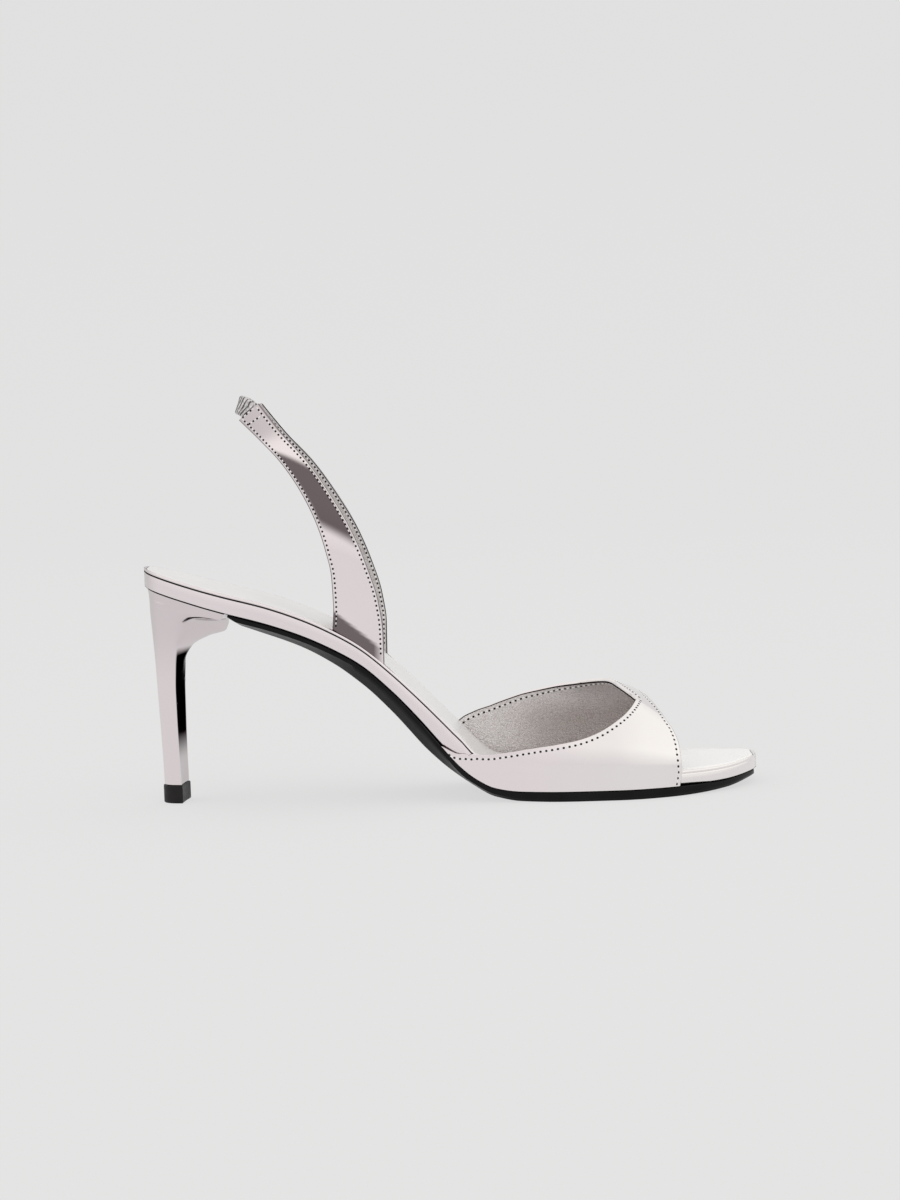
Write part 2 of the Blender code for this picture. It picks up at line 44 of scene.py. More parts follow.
# the shoe's own sizes, heel at x = 0, toe at x = length
shoe = {
    "length": 225.5 * mm,
    "halfBall": 38.0 * mm,
    "heelHeight": 75.0 * mm,
    "gap": 0.3 * mm,
    "start": 0.001,           # share of the length where the board begins
    "boardThickness": 6.3 * mm,
    "topShare": 0.8,          # part of the vamp section that is rounded over the foot
    "sideRise": 7.0 * mm,     # straight side under it
    "ridgeOffset": 6.0 * mm,  # the ridge leans to the inner side
    "fullness": 2.2,
}
length, halfBall = shoe["length"], shoe["halfBall"]
heelHeight, gap = shoe["heelHeight"], shoe["gap"]

outlineTable = {
    "along": (0.001, 0.009, 0.027, 0.062, 0.115, 0.200, 0.310, 0.421, 0.532, 0.621,
              0.701, 0.763, 0.834, 0.896, 0.925, 0.955, 0.976, 0.9875, 0.9935),
    "outer": (0.090, 0.260, 0.410, 0.540, 0.625, 0.645, 0.650, 0.700, 0.815, 0.925,
              0.992, 1.000, 0.920, 0.745, 0.620, 0.445, 0.270, 0.130, 0.010),
    "inner": (0.090, 0.260, 0.410, 0.540, 0.630, 0.645, 0.590, 0.540, 0.630, 0.790,
              0.920, 0.975, 0.960, 0.850, 0.755, 0.615, 0.470, 0.350, 0.230),
}
profile = {
    "along": (0.000, 0.067, 0.133, 0.200, 0.257, 0.310, 0.355, 0.399, 0.443, 0.479,
              0.506, 0.532, 0.563, 0.603, 0.665, 0.789, 0.869, 0.936, 1.000),
    "height": (1.075, 1.011, 0.949, 0.891, 0.829, 0.753, 0.671, 0.551, 0.403, 0.272,
               0.179, 0.115, 0.0693, 0.0527, 0.04933, 0.04933, 0.0505, 0.0545, 0.0680),
    "board": (1.14, 1.14, 1.16, 1.17, 1.15, 1.14, 1.13, 1.21, 1.42, 1.64,
              1.74, 1.43, 1.05, 0.85, 0.79, 0.80, 0.83, 0.84, 0.84),
    "outsole": (0.95, 0.95, 0.80, 1.06, 1.19, 1.50, 1.95, 2.15, 2.25, 1.75,
                1.12, 0.84, 0.87, 0.96, 1.00, 1.00, 0.96, 0.80, 0.46),
    "bevel": (1.00, 1.00, 1.00, 1.00, 1.00, 1.00, 1.00, 1.00, 1.00, 0.90,
              0.70, 0.45, 0.25, 0.15, 0.12, 0.12, 0.12, 0.12, 0.12),
}
lastTop = {
    "along": (0.466, 0.532, 0.621, 0.665, 0.710, 0.736, 0.756, 0.772, 0.794, 0.816, 0.829,
              0.843, 0.865, 0.887),
    "rise": (0.733, 0.668, 0.580, 0.540, 0.500, 0.484, 0.472, 0.455, 0.430, 0.391, 0.365,
             0.336, 0.292, 0.260),
}
throatEdge = {
    "round": (-1.000, -0.900, -0.800, -0.768, -0.740, -0.713, -0.691, -0.669, -0.641, -0.606,
              -0.558, -0.495, -0.415, -0.322, -0.239, -0.190, -0.165, -0.120, -0.060, 0.000,
              0.060, 0.110, 0.150, 0.193, 0.246, 0.300, 0.355, 0.435, 0.500, 0.569, 0.627,
              0.677, 0.732, 0.777, 0.800, 0.900, 1.000),
    "along": (0.479, 0.503, 0.523, 0.545, 0.570, 0.600, 0.630, 0.660, 0.690, 0.715,
              0.738, 0.758, 0.775, 0.788, 0.7955, 0.7985, 0.7935, 0.7845, 0.775, 0.7675,
              0.760, 0.753, 0.746, 0.7355, 0.720, 0.702, 0.681, 0.645, 0.610, 0.577, 0.552,
              0.534, 0.5165, 0.5045, 0.498, 0.491, 0.483),
}
toeOpening = {
    "round": (-1.00, -0.90, -0.80, -0.65, -0.53, -0.40, -0.31, -0.196, -0.147, -0.05,
              0.05, 0.15, 0.30, 0.45, 0.60, 0.80, 1.00),
    "along": (0.857, 0.860, 0.8615, 0.860, 0.858, 0.852, 0.8435, 0.834, 0.827, 0.8175,
              0.815, 0.822, 0.838, 0.849, 0.856, 0.860, 0.857),
}
heelShape = {
    "drop": (0.000, 0.032, 0.050, 0.080, 0.125, 0.190, 0.270, 0.390, 0.530, 0.690, 0.850, 1.000),
    "slope": (1.00, 1.00, 1.00, 0.95, 0.85, 0.70, 0.50, 0.25, 0.10, 0.00, 0.00, 0.00),
    "back": (0.0044, 0.0062, 0.0067, 0.0071, 0.0075, 0.0089, 0.0106, 0.0126, 0.0142, 0.0160,
             0.0177, 0.0186),
    "breast": (0.1366, 0.1304, 0.0998, 0.0767, 0.0634, 0.0581, 0.0550, 0.0528, 0.0510, 0.0510,
               0.0514, 0.0523),
    "half": (0.621, 0.603, 0.563, 0.500, 0.432, 0.368, 0.318, 0.274, 0.239, 0.210, 0.190, 0.176),
    "tongue": (-0.010, 0.032, 0.210, 0.342, 0.395, 0.258, 0.110, 0.021, 0.000, -0.005,
               -0.005, -0.005),
}
strapTable = {
    "run": (0.00, 0.10, 0.22, 0.34, 0.46, 0.60, 0.74, 0.87, 1.00),
    "rearX": (0.3095, 0.3126, 0.3113, 0.3029, 0.2900, 0.2652, 0.2341, 0.2018, 0.1681),
    "rearZ": (0.843, 0.967, 1.107, 1.240, 1.367, 1.525, 1.665, 1.771, 1.873),
    "frontX": (0.3911, 0.3916, 0.3858, 0.3694, 0.3486, 0.3166, 0.2798, 0.2381, 0.2018),
    "frontZ": (0.673, 0.827, 0.980, 1.153, 1.313, 1.491, 1.659, 1.805, 1.952),
    "outer": (0.589, 0.608, 0.626, 0.629, 0.603, 0.524, 0.421, 0.300, 0.182),
    "inner": (0.492, 0.521, 0.558, 0.576, 0.563, 0.497, 0.408, 0.295, 0.182),
    "pinch": (0.000, 0.000, 0.003, 0.008, 0.016, 0.026, 0.039, 0.053, 0.058),
}


def slopesOf(xs, ys):
    steps = [b - a for a, b in zip(xs, xs[1:])]
    rates = [(b - a) / h for a, b, h in zip(ys, ys[1:], steps)]
    slopes = [rates[0]] + [0.0] * (len(xs) - 1)
    for i in range(1, len(xs) - 1):
        if rates[i - 1] * rates[i] > 0:
            w1 = 2 * steps[i] + steps[i - 1]
            w2 = steps[i] + 2 * steps[i - 1]
            slopes[i] = (w1 + w2) / (w1 / rates[i - 1] + w2 / rates[i])
    return slopes


knownSlopes = {}


def clamp(value, low=0.0, high=1.0):
    return max(low, min(high, value))


def locate(marks, goal, i=0):
    # the step that holds the goal, and how far along it the goal lies
    while i < len(marks) - 2 and marks[i + 1] < goal:
        i += 1
    return i, clamp((goal - marks[i]) / max(marks[i + 1] - marks[i], 1e-9))


def pathLengths(points):
    total = [0.0]
    for a, b in zip(points, points[1:]):
        total.append(total[-1] + (b - a).length)
    return total


def smooth(table, column, place):
    # monotone cubic through one column, over the table's first column
    xs = next(iter(table.values()))
    ys = table[column]
    key = (id(table), column)
    if key not in knownSlopes:
        knownSlopes[key] = slopesOf(xs, ys)
    m = knownSlopes[key]
    i, t = locate(xs, place)
    h = xs[i + 1] - xs[i]
    return ((2 * t ** 3 - 3 * t ** 2 + 1) * ys[i] + (t ** 3 - 2 * t ** 2 + t) * h * m[i]
            + (3 * t ** 2 - 2 * t ** 3) * ys[i + 1] + (t ** 3 - t ** 2) * h * m[i + 1])


def softStep(a, b, value):
    t = clamp((value - a) / (b - a))
    return t * t * (3 - 2 * t)


signs = {"outer": -1.0, "inner": 1.0}


def outline(x, side):
    return smooth(outlineTable, side, x / length) * halfBall * signs[side]


def boardLine(x):
    return smooth(profile, "height", x / length) * heelHeight


def boardTop(x):
    return boardLine(x) + smooth(profile, "board", x / length) * shoe["boardThickness"]


def quarter(steps=4):
    # angles round a corner
    return [math.pi / 2 * i / steps for i in range(steps + 1)]


# shoe coordinates to the frame's
shift = Vector((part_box("insole_board")[0][0] - shoe["start"] * length,
                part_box("vamp")[0][1] + halfBall, 0.0))


def addMesh(name, points, faces, materials, faceMaterial=None, shade=None, sharp=45):
    mesh = bpy.data.meshes.new(name)
    mesh.from_pydata([Vector(p) + shift for p in points], [], faces)
    mesh.validate()
    mesh.shade_smooth()
    for material in materials:
        mesh.materials.append(material)
    if faceMaterial:
        mesh.polygons.foreach_set("material_index", faceMaterial)
    if shade:  # 0 plain, 1 fully dark: painted dark reflection where the mirror shows something dark, and painted shade
        layer = mesh.attributes.new("shade", "FLOAT", "POINT")
        layer.data.foreach_set("value", shade)
    mesh.update()
    mesh.set_sharp_from_angle(angle=math.radians(sharp))
    piece = bpy.data.objects.new(name, mesh)
    scene.collection.objects.link(piece)
    return piece


def loft(name, rings, materials, shade=None, stripMaterial=None, sharp=45, sideCount=0, facing=0):
    # closed skin through rings of equal point count, its faces turned outwards
    count = len(rings[0])
    points = [p for ring in rings for p in ring]
    faces, slots = [], []
    for r in range(len(rings) - 1):
        for k in range(count):
            a = r * count + k
            b = r * count + (k + 1) % count
            faces.append((a, b, b + count, a + count))
            slots.append(stripMaterial(r, k) if stripMaterial else 0)
    last = (len(rings) - 1) * count
    if sideCount:          # ends in strips, so that lines of colour run on round them
        for k in range(sideCount - 1):
            a, b, c, d = k, k + 1, facing - k - 1, facing - k
            faces += [(d, c, b, a), (last + a, last + b, last + c, last + d)]
            slots += [stripMaterial(0, k), stripMaterial(len(rings) - 1, k)]
    else:
        faces += [tuple(reversed(range(count))), tuple(range(last, last + count))]
        slots += [0, 0]
    volume = sum(Vector(points[face[0]]).dot(Vector(points[a]).cross(Vector(points[b])))
                 for face in faces for a, b in zip(face[1:-1], face[2:]))
    if volume < 0:
        faces = [tuple(reversed(face)) for face in faces]
    return addMesh(name, points, faces, materials, slots, shade, sharp)


# materials
def nodesOf(name):
    material = bpy.data.materials.new(name)
    material.use_nodes = True
    tree = material.node_tree
    return material, tree, tree.nodes["Principled BSDF"]


def plug(tree, socket, node, entry):
    tree.links.new(socket, node.inputs[entry])


def link(tree, a, output, b, entry):
    plug(tree, a.outputs[output], b, entry)


def setInputs(node, values):
    for name, value in values.items():
        node.inputs[name].default_value = value


def grey(value):
    return (value, value, value)


def noiseNode(tree, scale, detail):
    place = tree.nodes.new("ShaderNodeTexCoord")
    texture = tree.nodes.new("ShaderNodeTexNoise")
    setInputs(texture, {"Scale": scale, "Detail": detail})
    link(tree, place, "Object", texture, "Vector")
    return texture


def ramp(tree, source, output, stops):
    node = tree.nodes.new("ShaderNodeValToRGB")
    elements = node.color_ramp.elements
    while len(elements) > 1:
        elements.remove(elements[-1])
    for i, (place, colour) in enumerate(stops):
        stop = elements[0] if i == 0 else elements.new(place)
        stop.position = place
        stop.color = (*colour, 1.0)
    link(tree, source, output, node, "Fac")
    return node.outputs["Color"]


def cloud(tree, scale, detail, low, high, lowEnd=0.3, highEnd=0.7):
    # soft noise between two colours
    return ramp(tree, noiseNode(tree, scale, detail), "Fac", [(lowEnd, low), (highEnd, high)])


def bump(tree, source, output, strength, height, below=None):
    node = tree.nodes.new("ShaderNodeBump")
    setInputs(node, {"Strength": strength, "Distance": height})
    link(tree, source, output, node, "Height")
    if below:
        link(tree, below, "Normal", node, "Normal")
    return node


def noiseBump(tree, layer, below=None):
    scale, detail, strength, height = layer
    return bump(tree, noiseNode(tree, scale, detail), "Fac", strength, height, below)


def mixColours(tree, factor, output, first, second, blend="MIX"):
    mix = tree.nodes.new("ShaderNodeMix")
    mix.data_type = "RGBA"
    mix.blend_type = blend
    if factor is None:
        mix.inputs[0].default_value = 1.0
    else:
        link(tree, factor, output, mix, 0)
    for entry, colour in ((6, first), (7, second)):
        if isinstance(colour, tuple):
            mix.inputs[entry].default_value = (*colour, 1.0)
        else:
            tree.links.new(colour, mix.inputs[entry])
    return mix.outputs[2]


def multiply(tree, first, second):
    return mixColours(tree, None, "", first, second, "MULTIPLY")


def fade(tree, low, high, first, second, axis="X"):
    # from one colour to the other between two places, in millimetres from the heel or the floor
    place = tree.nodes.new("ShaderNodeTexCoord")
    split = tree.nodes.new("ShaderNodeSeparateXYZ")
    spread = tree.nodes.new("ShaderNodeMapRange")
    spread.interpolation_type = "SMOOTHSTEP"
    offset = shift.x if axis == "X" else shift.z
    setInputs(spread, {"From Min": low * mm + offset, "From Max": high * mm + offset})
    link(tree, place, "Object", split, "Vector")
    link(tree, split, axis, spread, "Value")
    return mixColours(tree, spread, "Result", first, second)


def shadeNode(tree):
    node = tree.nodes.new("ShaderNodeAttribute")
    node.attribute_name = "shade"
    return node


def mirrorLeather(name, pale, dark, rough=0.09):
    material, tree, shader = nodesOf(name)
    mottle = cloud(tree, *leather["mottle"], grey(0.985), grey(1.0))
    # painted light: the leather turns paler towards the toe, standing in for its brighter reflection
    tone = multiply(tree, fade(tree, *leather["paintedLightFrom"], pale, leather["toe"]), mottle)
    # the shade attribute paints dark reflection and shade into the colour and the specular tint
    shade = shadeNode(tree)
    plug(tree, mixColours(tree, shade, "Fac", tone, dark), shader, "Base Color")
    plug(tree, mixColours(tree, shade, "Fac", grey(1.0), dark), shader, "Specular Tint")
    setInputs(shader, {"Metallic": 1.0})
    worn = cloud(tree, *leather["worn"], grey(rough), grey(rough * leather["wornShare"]), 0.35)
    plug(tree, worn, shader, "Roughness")
    ripple = noiseBump(tree, leather["ripple"])
    link(tree, noiseBump(tree, leather["grain"], ripple), "Normal", shader, "Normal")
    return material


# noise is given as scale and detail, and bumps as scale, detail, strength and height
leather = {
    "pale": (0.905, 0.825, 0.842),
    "boardPale": (0.88, 0.81, 0.825),
    "dark": (0.012, 0.008, 0.009),
    # painted dark reflection on the straps' outside
    "paintedDarkReflection": (0.155, 0.125, 0.132),
    "toe": (0.90, 0.86, 0.855),
    "paintedLightFrom": (128, 178),      # painted lighter reflection towards the toe, coming in between these places
    "mottle": (38, 2),
    "worn": (900, 3),
    "wornShare": 1.7,
    "ripple": (60, 2, 0.06, 0.6 * mm),
    "grain": (1500, 2, 0.05, 0.08 * mm),
}
# vamp and straps; the straps carry the painted dark reflection
leatherSkin = mirrorLeather("mirror_leather", leather["pale"], leather["paintedDarkReflection"])
heelSkin = mirrorLeather("heel_leather", leather["pale"], leather["dark"], 0.10)
boardSkin = mirrorLeather("board_leather", leather["boardPale"], leather["dark"], 0.12)


def makeLining(name, strength):
    # pebbled metallic lining, duller and darker than the outside
    material, tree, shader = nodesOf(name)
    place = tree.nodes.new("ShaderNodeTexCoord")
    cells = tree.nodes.new("ShaderNodeTexVoronoi")
    cells.feature = "SMOOTH_F1"
    setInputs(cells, {"Scale": lining["pebblesPerMetre"]})
    link(tree, place, "Object", cells, "Vector")
    # painted highlight on the pebbles and painted shade between them
    tone = ramp(tree, cells, "Distance", [(0.05, lining["high"]), (0.75, lining["low"])])
    mottle = cloud(tree, *lining["mottle"], grey(0.90 * strength), grey(strength))
    # painted shade: darker towards the front, fading out near the top
    light = fade(tree, *lining["liningShadeFrom"], grey(1.0), lining["liningShade"])
    light = fade(tree, *lining["liningShadeTop"], light, grey(1.0), "Z")
    plug(tree, multiply(tree, multiply(tree, tone, mottle), light), shader, "Base Color")
    setInputs(shader, {"Metallic": lining["metallic"], "Roughness": lining["rough"]})
    pebbles = bump(tree, cells, "Distance", *lining["pebble"])
    link(tree, noiseBump(tree, lining["grain"], pebbles), "Normal", shader, "Normal")
    return material


lining = {
    "pebblesPerMetre": 1900,
    "high": (1.0, 0.975, 0.965),
    "low": (0.70, 0.645, 0.64),
    "liningShadeFrom": (122, 160),      # painted shade, darker towards the front
    "liningShade": (0.66, 0.63, 0.61),
    "liningShadeTop": (22, 33),         # the painted shade fades out between these heights, so the lining is paler again near its top
    "mottle": (45, 3),
    "metallic": 0.75,
    "rough": 0.42,
    "pebble": (0.9, -0.25 * mm),
    "grain": (2600, 3, 0.25, 0.1 * mm),
}
liningSkin = makeLining("pebbled_lining", 1.0)
# a darker copy of the lining: painted shade on the straps' inside
shadedStrapLiningSkin = makeLining("strap_lining_painted_shade", 0.78)


def makeSock():
    material, tree, shader = nodesOf("satin_sock")
    tone = cloud(tree, *sock["tone"], sock["low"], sock["high"])
    # painted light: the sock turns paler towards the toe
    plug(tree, fade(tree, *sock["paintedLightFrom"], tone, sock["toe"]), shader, "Base Color")
    setInputs(shader, {"Metallic": sock["metallic"]})
    satin = cloud(tree, *sock["satin"], grey(sock["smooth"]), grey(sock["rough"]))
    plug(tree, satin, shader, "Roughness")
    link(tree, noiseBump(tree, sock["ripple"]), "Normal", shader, "Normal")
    return material


sock = {
    "low": (0.80, 0.785, 0.79),
    "high": (0.83, 0.815, 0.82),
    # painted light: paler colour at the toe
    "toe": (0.955, 0.935, 0.93),
    "paintedLightFrom": (165, 190),
    "tone": (55, 3),
    "metallic": 0.25,
    "satin": (40, 2),
    "smooth": 0.29,
    "rough": 0.33,
    "ripple": (60, 1, 0.06, 0.6 * mm),
}
sockSkin = makeSock()


def makeMatte(name, low, high, rough, gloss=0.5):
    # sole, tip, thread and dark edges, which on the board cover are painted shade and on the straps
    # painted dark reflection
    material, tree, shader = nodesOf(name)
    setInputs(shader, {"Specular IOR Level": gloss})
    tone = cloud(tree, *matte["tone"], low, high, highEnd=0.75)
    plug(tree, tone, shader, "Base Color")
    worn = cloud(tree, *matte["worn"], grey(rough), grey(rough * matte["wornShare"]), 0.35)
    plug(tree, worn, shader, "Roughness")
    link(tree, noiseBump(tree, matte["grain"]), "Normal", shader, "Normal")
    return material


matte = {"tone": (120, 4), "worn": (500, 5), "wornShare": 1.35, "grain": (1800, 3, 0.2, 0.1 * mm)}
soleSkin = makeMatte("black_sole", (0.0035, 0.003, 0.003), (0.008, 0.007, 0.0075), 0.27, 0.14)
tipSkin = makeMatte("tip_rubber", (0.008, 0.007, 0.007), (0.016, 0.014, 0.014), 0.42, 0.2)
threadSkin = makeMatte("pale_thread", (0.86, 0.84, 0.84), (0.95, 0.93, 0.93), 0.5)
# dark discs painted as the shade inside the stitch holes
holeShadeSkin = makeMatte("stitch_hole_shade", (0.012, 0.010, 0.010), (0.022, 0.018, 0.018), 0.75, 0.1)
# dark edges and lines, partly painted shade and painted dark reflection
edgeAndShadeSkin = makeMatte("dark_edge_and_painted_shade", (0.010, 0.008, 0.008), (0.022, 0.018, 0.018), 0.6, 0.05)


def makeElastic():
    material, tree, shader = nodesOf("gathered_elastic")
    tone = cloud(tree, *fabric["tone"], fabric["low"], fabric["high"])
    # painted shade in the hollows between the folds, from the shade attribute
    plug(tree, mixColours(tree, shadeNode(tree), "Fac", tone, fabric["dark"]), shader, "Base Color")
    setInputs(shader, {"Metallic": fabric["metallic"], "Roughness": fabric["rough"]})
    link(tree, noiseBump(tree, fabric["weave"]), "Normal", shader, "Normal")
    return material


fabric = {
    "low": (0.42, 0.40, 0.405),
    "high": (0.86, 0.83, 0.84),
    # painted shade for the hollows between the folds
    "dark": (0.05, 0.042, 0.044),
    "tone": (1600, 3),
    "metallic": 0.6,
    "rough": 0.30,
    "weave": (2200, 3, 0.4, 0.15 * mm),
}
elasticSkin = makeElastic()
print("materials made")

# board, footbed and outsole are made of sections across the shoe
board = {
    "rimWidth": 1.7 * mm,
    "rimDepth": 1.3 * mm,
    "rimEdge": 0.5 * mm,    # the rim's inner edge is rounded this far down
    "rounding": 0.9 * mm,
    "bead": 1.15 * mm,      # height of the rolled bead under the rim
    "beadFoot": 0.2 * mm,
    "beadFall": 0.35 * mm,  # how much lower its inner side lies
    "groove": 0.32 * mm,    # depth of the groove below it
    "grooveLow": 0.45 * mm,
    "grooveHigh": 0.18 * mm,
    "fullWidth": 12 * mm,   # the groove is shallower where the board is narrower
    "rearBlend": 26.0 * mm,
    "frontBlend": 15.6 * mm,
    "vampWall": 1.7 * mm,
    "stations": 210,
    "floorPoints": 5,
    "toeEnd": 0.9935,
    "linesEnd": 180 * mm,   # in front of the vamp the edge is plain
    "heelShade": 0.15,
    "heelFade": (7 * mm, 1 * mm),
}
footbed = {
    "thickness": 1.1 * mm,
    "soft": 0.35 * mm,
    "notchMargin": 1.0 * mm,
    "notchRamp": 2.5 * mm,
    "strapRoom": 2.65 * mm,
    "stations": 190,
    "end": 0.0065,
}
outsole = {
    "thickness": 3.7 * mm,
    "inset": 0.8 * mm,
    "edge": 1.7 * mm,
    "reach": 5.5 * mm,
    "crown": 1.35 * mm,
    "rounding": 0.25 * mm,
    "clearance": 1.1 * mm,
    "rearShare": 0.30,
    "rearFade": 5.0 * mm,
    "rearSteps": 12,
    "waist": 0.16,
    "stations": 190,
    "toe": 0.9885,
}


def between(x, edges):
    (a, b), (c, d) = edges
    return min(clamp((x - a) / (b - a)), clamp((d - x) / (d - c)))


def vampRamps():
    rear = throatEdge["along"][0] * length
    front = max(toeOpening["along"]) * length
    return (rear - board["rearBlend"], rear), (front, front + board["frontBlend"])


def notchRamps():
    rear = strapTable["rearX"][0] * length - footbed["notchMargin"]
    front = strapTable["frontX"][1] * length + footbed["notchMargin"]
    return (rear - footbed["notchRamp"], rear), (front, front + footbed["notchRamp"])


def boardInset(x):
    return softStep(0, 1, between(x, vampRamps())) * (board["vampWall"] + 2 * gap)


def stations(low, high, count):
    # places along the shoe, closer together at both ends
    steps = [i / count for i in range(count + 1)]
    shares = [0.42 * (1 - math.cos(math.pi * t)) + 0.16 * t for t in steps]
    return [(low + (high - low) * share) * length for share in shares]


def across(left, right, steps):
    return [left + (right - left) * (i + 1) / (steps + 1) for i in range(steps)]


def section(x, left, right, side, steps):
    # one side, the top and the other side as its mirror image
    end, top = side[-1]
    ring = [(x, left + d, z) for d, z in side]
    ring += [(x, y, top) for y in across(left + end, right - end, steps)]
    return ring + [(x, right - d, z) for d, z in reversed(side)]


def boardSide(width, low, top, depth):
    # from the bottom corner up the side, over the bead and down into the recess
    soft = min(board["rounding"], width * 0.08)
    rim = min(board["rimWidth"], width * 0.12)
    groove = board["groove"] * clamp(width / board["fullWidth"])
    beadLow = top - board["bead"]
    crest = top - beadLow
    foot = board["beadFoot"]
    reach = min(crest, rim * 0.92) / 2 * 0.98
    side = [(soft * (1 - math.sin(a)), low + soft * (1 - math.cos(a))) for a in quarter()]
    side += [(0.0, beadLow - board["grooveLow"]), (groove * 0.35, beadLow - foot),
             (groove, beadLow), (groove * 0.35, beadLow + board["grooveHigh"])]
    for i in range(1, 9):
        a = math.pi * i / 9
        z = beadLow + foot + (crest - foot) * math.sin(min(a, math.pi / 2))
        if a > math.pi / 2:
            z -= board["beadFall"] * (1 - math.sin(a))
        side.append((reach * (1 - math.cos(a)), z))
    return side + [(rim, top - min(board["rimEdge"], depth)), (rim, top - depth)]


recess = (footbed["end"] * length - gap, (board["toeEnd"] - footbed["end"]) * length + gap)


def boardRing(x):
    low = boardLine(x) + gap / 2
    top = boardTop(x)
    depth = board["rimDepth"] if recess[0] <= x <= recess[1] else 0.0
    inset = boardInset(x)
    left = outline(x, "outer") + inset
    right = outline(x, "inner") - inset
    side = boardSide(right - left, low, top, depth)
    under = [(x, y, low) for y in across(right - side[0][0], left + side[0][0], 3)]
    return section(x, left, right, side, board["floorPoints"]) + under


def footbedRing(x):
    low = boardTop(x) - board["rimDepth"] + gap
    top = low + footbed["thickness"]
    inset = boardInset(x) + board["rimWidth"] + gap + between(x, notchRamps()) * footbed["strapRoom"]
    left = outline(x, "outer") + inset
    right = outline(x, "inner") - inset
    soft = footbed["soft"]
    side = [(0.0, low), (0.0, top - soft), (soft * 0.29, top - soft * 0.29), (soft, top)]
    return section(x, left, right, side, 9) + [(x, y, low) for y in across(right, left, 3)]


def outsoleRear():
    return heelShape["breast"][0] * length + outsole["clearance"]


def outsoleRing(x):
    top = boardLine(x) - gap / 2
    thickness = smooth(profile, "outsole", x / length) * outsole["thickness"]
    bevel = smooth(profile, "bevel", x / length)
    fade = clamp((x - outsoleRear()) / outsole["rearFade"])
    thickness *= outsole["rearShare"] + (1 - outsole["rearShare"]) * math.sin(fade * math.pi / 2)
    bottom = top + gap / 2 - thickness
    crown = outsole["crown"] * max(0.0, bevel - min(profile["bevel"]))
    left = outline(x, "outer") + outsole["inset"]
    right = outline(x, "inner") - outsole["inset"]
    reach = min(bevel * outsole["reach"], (right - left) * 0.22)
    edge = top - min(thickness * 0.62, outsole["edge"] + (1 - bevel) * outsole["edge"])
    soft = min(outsole["rounding"], (right - left) * 0.02)
    side = [(soft * 0.3, edge - soft * 0.6), (0.0, edge + soft * 0.5), (0.0, top - soft), (soft, top)]
    ring = [(x, left + d, z) for d, z in side]
    ring += [(x, y, top) for y in across(left, right, 5)]
    ring += [(x, right - d, z) for d, z in reversed(side)]
    lowRight, lowLeft = right - reach, left + reach
    ring += [(x, right - reach * t, edge + (bottom - edge) * t) for t in (0.35, 0.7, 0.94)]
    for i in range(9):
        t = i / 8
        ring.append((x, lowRight + (lowLeft - lowRight) * t, bottom - crown * math.sin(math.pi * t)))
    ring += [(x, left + reach * t, edge + (bottom - edge) * t) for t in (0.94, 0.7, 0.35)]
    return ring


steep = 0.02 * mm           # the recess has upright ends
ends = [recess[0] - steep, recess[0], recess[1], recess[1] + steep]
boardPlaces = [x for x in stations(shoe["start"], board["toeEnd"], board["stations"])
               if min(abs(x - end) for end in ends) > 0.1 * mm]
boardPlaces = sorted(boardPlaces + ends)
sideCount = len(boardSide(50 * mm, 0.0, 5 * mm, board["rimDepth"]))
facing = 2 * sideCount + board["floorPoints"] - 1     # the point that faces point 0


def boardLook(ring, strip):
    # painted shade as dark lines: along the lower edge, in the groove under the bead and on the wall
    # down to the sock
    x = boardPlaces[ring]
    inRecess = recess[0] <= x < recess[1]
    for k in (strip, facing - 1 - strip):          # same strip on both sides
        groove = k in (5, 6, 7)
        wall = k in (sideCount - 3, sideCount - 2) and inRecess
        if k in (0, 1) or x < board["linesEnd"] and (groove or wall):
            return 1
    return 0


boardRings = [boardRing(x) for x in boardPlaces]
boardShade = [board["heelShade"] * softStep(*board["heelFade"], p[0])
              for ring in boardRings for p in ring]
boardPiece = loft("board_cover", boardRings, [boardSkin, edgeAndShadeSkin], boardShade, boardLook, 60,
                  sideCount, facing)
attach(boardPiece, "root")
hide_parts("insole_board")

footbedPlaces = stations(footbed["end"], board["toeEnd"] - footbed["end"], footbed["stations"])
footbedPlaces = sorted(footbedPlaces + [p for edge in notchRamps() for p in edge])
footbedPiece = loft("sock", [footbedRing(x) for x in footbedPlaces], [sockSkin], sharp=70)
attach(footbedPiece, "root")
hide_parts("footbed")

rear = outsoleRear()
solePlaces = [rear + outsole["rearFade"] * (1 - math.cos(a)) for a in quarter(outsole["rearSteps"])]
solePlaces += [x for x in stations(outsole["waist"], outsole["toe"], outsole["stations"])
               if x > solePlaces[-1] + 0.4 * mm]
solePiece = loft("sole", [outsoleRing(x) for x in solePlaces], [soleSkin], sharp=35)
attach(solePiece, "root")
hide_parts("outsole")
print("board, sock and sole made")

# heel and its tip
heel = {
    "turn": 6.5,            # degrees that the block is turned so that its breast shows
    "roundness": 2.3,
    "inset": 0.6 * mm,
    "tipHeight": 6.6 * mm,
    "tipSoft": 0.5 * mm,
    "lip": 0.4 * mm,
    "rings": 90,
    "crowding": 1.7,        # rings lie closer together near the seat
    "darkTop": (59.5 * mm, 54.5 * mm),    # the breast mirrors the dark from here
    "darkLow": (15.0 * mm, 30.0 * mm),    # down to here, and weaker below
    "lowShare": 0.20,
    "paintedSideShade": 0.06,          # painted shade on the block's sides
    # the painted shade grows towards the top
    "paintedSideShadeTop": 0.10,
    "paintedSideShadeFade": (42 * mm, 66 * mm),
}


def heelSizes(drop):
    scale = {"back": length, "breast": length, "half": halfBall, "tongue": halfBall}
    return [smooth(heelShape, column, drop) * scale[column] for column in scale]


